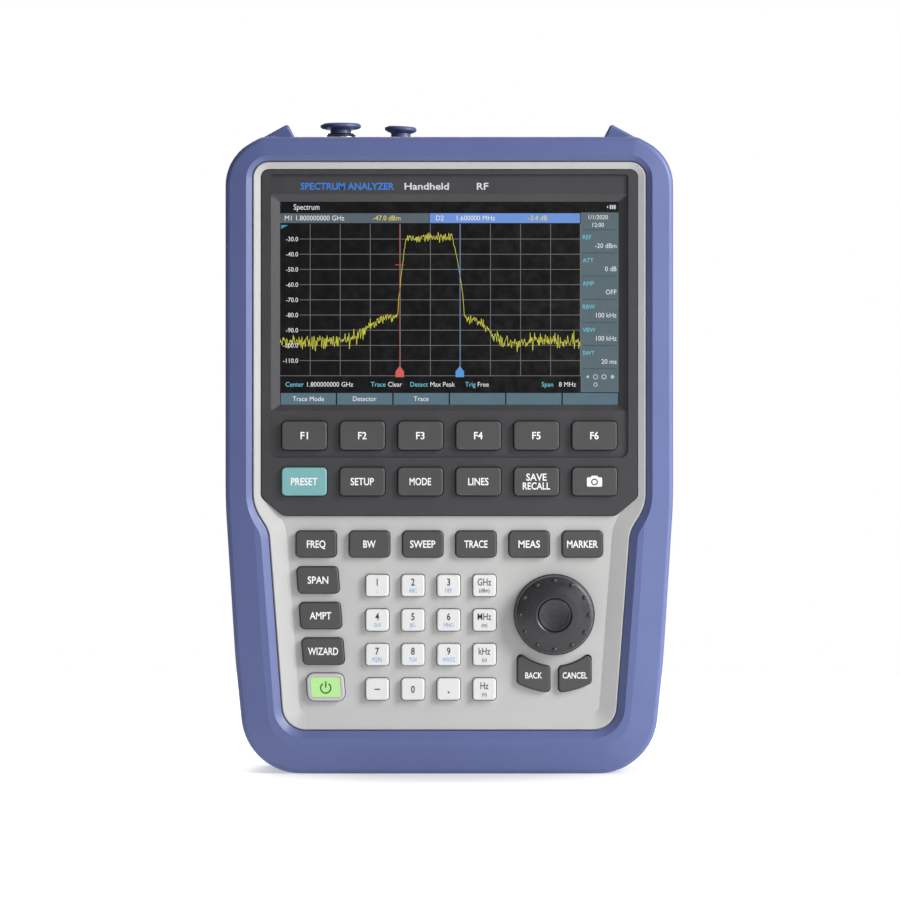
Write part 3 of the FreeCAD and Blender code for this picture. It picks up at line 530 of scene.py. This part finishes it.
def screen_words():
    white, cyan, yellow = [], [], []
    white.append(screen_text("Spectrum", 0.040, 0.026, 2.5, narrow=0.85))
    white.append(screen_text("M1 1.800000000 GHz", 0.014, 0.080))
    yellow.append(screen_text("-47.0 dBm", 0.275, 0.080))
    white.append(screen_text("D2", 0.461, 0.080))
    white.append(screen_text("1.600000 MHz", 0.522, 0.080))
    yellow.append(screen_text("-3.4 dB", 0.733, 0.080))
    for i in range(1, 10):
        v = MARKER_END + (GRID_END - MARKER_END) * i / 10
        white.append(screen_text("-%d.0" % (20 + 10 * i), 0.053, v, 2.0, "RIGHT"))
    settings = ((0.016, "Center", 0.080, "1.800000000 GHz"), (0.268, "Trace", 0.319, "Clear"),
                (0.385, "Detect", 0.444, "Max Peak"), (0.547, "Trig", 0.584, "Free"),
                (0.773, "Span", 0.824, "8 MHz"))
    for u_label, label, u_value, value in settings:
        cyan.append(screen_text(label, u_label, BOTTOM_ROW, 2.1))
        white.append(screen_text(value, u_value, BOTTOM_ROW, 2.1))
    for i, text in enumerate(("Trace Mode", "Detector", "Trace")):
        white.append(screen_text(text, (i + 0.5) / 6, 0.971, 2.1, "CENTER"))
    side = (("REF", "-20 dBm"), ("ATT", "0 dB"), ("AMP", "OFF"), ("RBW", "100 kHz"), ("VBW", "100 kHz"),
            ("SWT", "20 ms"))
    for i, (label, value) in enumerate(side):
        v = 0.1746 + SIDE_STEP * i
        cyan.append(screen_text(label, SIDE_START + 0.006, v, 1.9))
        white.append(screen_text(value, 0.994, v + 0.042, 2.1, "RIGHT"))
    white.append(screen_text("1/1/2020", 0.940, 0.076, 1.9, "CENTER"))
    white.append(screen_text("12:00", 0.940, 0.114, 1.9, "CENTER"))
    screen_piece("screen_words", white, glowing("screen_white", srgb(226, 230, 232)))
    screen_piece("screen_labels", cyan, glowing("screen_cyan", srgb(110, 200, 215)))
    screen_piece("screen_readings", yellow, glowing("screen_yellow", srgb(222, 208, 90)))


def screen_symbols():
    battery = [screen_plate(0.966, 0.969, 0.021, 0.031, 3)]
    for i in range(3):
        u = 0.974 + 0.0065 * i
        battery.append(screen_plate(u, u + 0.0045, 0.016, 0.036, 3))
    screen_piece("screen_battery", battery, glowing("screen_symbol_white", srgb(205, 210, 212)))
    x, z = across(0.003), down(MARKER_END + 0.006)
    corner = screen_mark([(x, z), (x, z - 1.7), (x + 3.2, z)], 0.045)
    screen_piece("screen_corner", [corner], glowing("screen_corner_cyan", srgb(60, 150, 170)))
    rings = []
    for u, v, inner, outer in ((0.909, 0.863, 0.1, 0.6), (0.932, 0.863, 0.8, 1.15),
                               (0.957, 0.863, 0.75, 1.15), (0.982, 0.863, 0.1, 0.8),
                               (0.932, 0.901, 0.6, 0.95)):
        band = arc_band(across(u), down(v), inner, outer, 0, ALMOST_FULL_TURN)
        rings.append(screen_mark(band, 0.05))
    screen_piece("screen_status", rings, glowing("screen_status_grey", srgb(185, 196, 200)))


# ------------------------------------------------------------------ other small pieces
def header_words():
    """Words printed on the strip above the display."""
    low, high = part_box("control_panel")
    height = 3.0
    y = low[1] * 1000 + 1.2     # the strip lies a little behind the panel's front
    z = high[2] * 1000 - 7.4
    blue = moulded("header_blue", srgb(52, 116, 196), bump=0.02)
    white = moulded("header_white", srgb(205, 208, 214), bump=0.02)
    kind = lettering("SPECTRUM ANALYZER", -67.1, z, y, height, width=42.2, bold=0.05, align="LEFT")
    piece("header_kind", kind, blue, "instrument")
    words = [lettering("Handheld", -20.2, z, y, height, width=20.0, align="LEFT"),
             lettering("RF", 12.4, z, y, height, width=5.2, align="LEFT")]
    piece("header_words", merged("header_words", words), white, "instrument")


def socket_contacts():
    """Contact wires of the network socket and the tongue of the flat socket."""
    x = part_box("main_board")[0][0] * 1000
    lan_z, usb_z = 176.5, 155.0
    wire_pitch, wire_half = 1.02, 0.2
    wires = []
    for i in range(8):
        z = lan_z - 3.6 + i * wire_pitch
        wires.append(block(x + 1.5, x + 11, -8.0, -7.3, z - wire_half, z + wire_half))
    piece("network_contacts", merged("network_contacts", wires), GOLD, "instrument")
    tongue = block(x + 1.0, x + 9.5, -6.2, -4.6, usb_z - 5.4, usb_z + 5.4)
    piece("flat_socket_tongue", tongue, SOCKET_BLACK, "instrument")


def block(x0, x1, y0, y1, z0, z1):
    """Box with softened edges, in millimetres."""
    shape = bmesh.new()
    bmesh.ops.create_cube(shape, size=1.0)
    size = Matrix.Diagonal(((x1 - x0) * MM, (y1 - y0) * MM, (z1 - z0) * MM, 1))
    place = Matrix.Translation(((x0 + x1) / 2 * MM, (y0 + y1) / 2 * MM, (z0 + z1) / 2 * MM))
    bmesh.ops.transform(shape, matrix=place @ size, verts=shape.verts)
    least = min(x1 - x0, y1 - y0, z1 - z0) * MM
    bmesh.ops.bevel(shape, geom=list(shape.edges), offset=least * 0.2, segments=2, affect="EDGES")
    mesh = bpy.data.meshes.new("block")
    shape.to_mesh(mesh)
    shape.free()
    return mesh


# ------------------------------------------------------------------ stage
FLOOR_RADIUS = 0.8
SHADE_INNER, SHADE_OUTER = 0.045, 0.115     # the floor's own glow rises between these distances; the dimmer glow inside them is a painted contact shadow round the instrument
PAINTED_SHADOW_GLOW, GLOW_OUTER = 0.25, 0.65


def white_floor():
    """Pale floor, brighter away from the instrument so that it meets the white background; its weaker glow
    close to the instrument is a painted contact shadow.
    """
    shape = bmesh.new()
    bmesh.ops.create_circle(shape, cap_ends=True, segments=96, radius=FLOOR_RADIUS)
    mesh = bpy.data.meshes.new("floor")
    shape.to_mesh(mesh)
    shape.free()
    floor = bpy.data.objects.new("floor", mesh)
    bpy.context.scene.collection.objects.link(floor)
    material = moulded("floor_white", srgb(205, 205, 206), rough=0.5, bump=0.0, shade=0.0, specular=0.2)
    nodes, links = material.node_tree.nodes, material.node_tree.links
    shader = nodes["Principled BSDF"]
    shader.inputs["Emission Color"].default_value = (1, 1, 1, 1)
    coords = next(n for n in nodes if n.bl_idname == "ShaderNodeTexCoord")
    reach = nodes.new("ShaderNodeVectorMath")
    reach.operation = "LENGTH"
    links.new(coords.outputs["Object"], reach.inputs[0])
    # glow kept low close to the instrument: a painted contact shadow round its base, fading out with
    # distance
    painted_shadow_ramp = nodes.new("ShaderNodeMapRange")
    painted_shadow_ramp.interpolation_type = "SMOOTHSTEP"
    painted_shadow_ramp.inputs["From Min"].default_value = SHADE_INNER
    painted_shadow_ramp.inputs["From Max"].default_value = SHADE_OUTER
    painted_shadow_ramp.inputs["To Min"].default_value = PAINTED_SHADOW_GLOW
    painted_shadow_ramp.inputs["To Max"].default_value = GLOW_OUTER
    links.new(reach.outputs["Value"], painted_shadow_ramp.inputs["Value"])
    links.new(painted_shadow_ramp.outputs["Result"], shader.inputs["Emission Strength"])
    floor.data.materials.append(material)


def area_light(name, place, aim, size, power):
    data = bpy.data.lights.new(name, "AREA")
    data.shape = "RECTANGLE"
    data.size, data.size_y = size
    data.energy = power
    lamp = bpy.data.objects.new(name, data)
    lamp.location = place
    lamp.rotation_euler = (Vector(aim) - Vector(place)).to_track_quat("-Z", "Y").to_euler()
    bpy.context.scene.collection.objects.link(lamp)


def studio():
    scene = bpy.context.scene
    scene.view_settings.view_transform = "Standard"
    world = bpy.data.worlds.new("studio")
    world.use_nodes = True
    scene.world = world
    nodes, links = world.node_tree.nodes, world.node_tree.links
    sky = nodes["Background"]
    sky.inputs["Color"].default_value = (1, 1, 1, 1)
    sky.inputs["Strength"].default_value = 0.1
    seen = nodes.new("ShaderNodeBackground")
    seen.inputs["Color"].default_value = (1, 1, 1, 1)
    seen.inputs["Strength"].default_value = 1.0
    path = nodes.new("ShaderNodeLightPath")
    mix = nodes.new("ShaderNodeMixShader")
    links.new(path.outputs["Is Camera Ray"], mix.inputs["Fac"])
    links.new(sky.outputs["Background"], mix.inputs[1])
    links.new(seen.outputs["Background"], mix.inputs[2])
    links.new(mix.outputs["Shader"], nodes["World Output"].inputs["Surface"])
    middle = (0, 0, 0.15)
    area_light("key_light", (1.05, -0.66, 0.75), middle, (0.5, 0.8), 23)
    area_light("side_light", (1.4, -0.12, 0.3), middle, (0.4, 0.8), 7)
    area_light("gloss_panel", (0.95, -2.5, 0.45), middle, (1.1, 1.4), 8)
    area_light("top_light", (-0.2, 0.3, 1.6), middle, (1.4, 1.0), 4)
    area_light("back_light", (-0.4, 1.8, 1.0), middle, (1.4, 1.0), 20)


def camera():
    data = bpy.data.cameras.new("camera")
    data.sensor_width = SENSOR
    data.lens = SENSOR * CAMERA_DISTANCE / VIEW_WIDTH
    made = bpy.data.objects.new("camera", data)
    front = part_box("key_f1")[0][1]
    made.location = (CAMERA_X, front - CAMERA_DISTANCE, CAMERA_HEIGHT)
    made.rotation_euler = (math.radians(90), 0, 0)
    bpy.context.scene.collection.objects.link(made)
    bpy.context.scene.camera = made


camera()
studio()
white_floor()
dress_cad_nodes()
dark_key_legends()
camera_symbol()
number_key_legends()
power_window()
screen_bars()
screen_grid()
screen_trace()
marker("screen_marker_red", MARKER_1, srgb(206, 96, 90), -47)
marker("screen_marker_blue", MARKER_2, srgb(90, 150, 215), -50)
screen_words()
screen_symbols()
header_words()
socket_contacts()
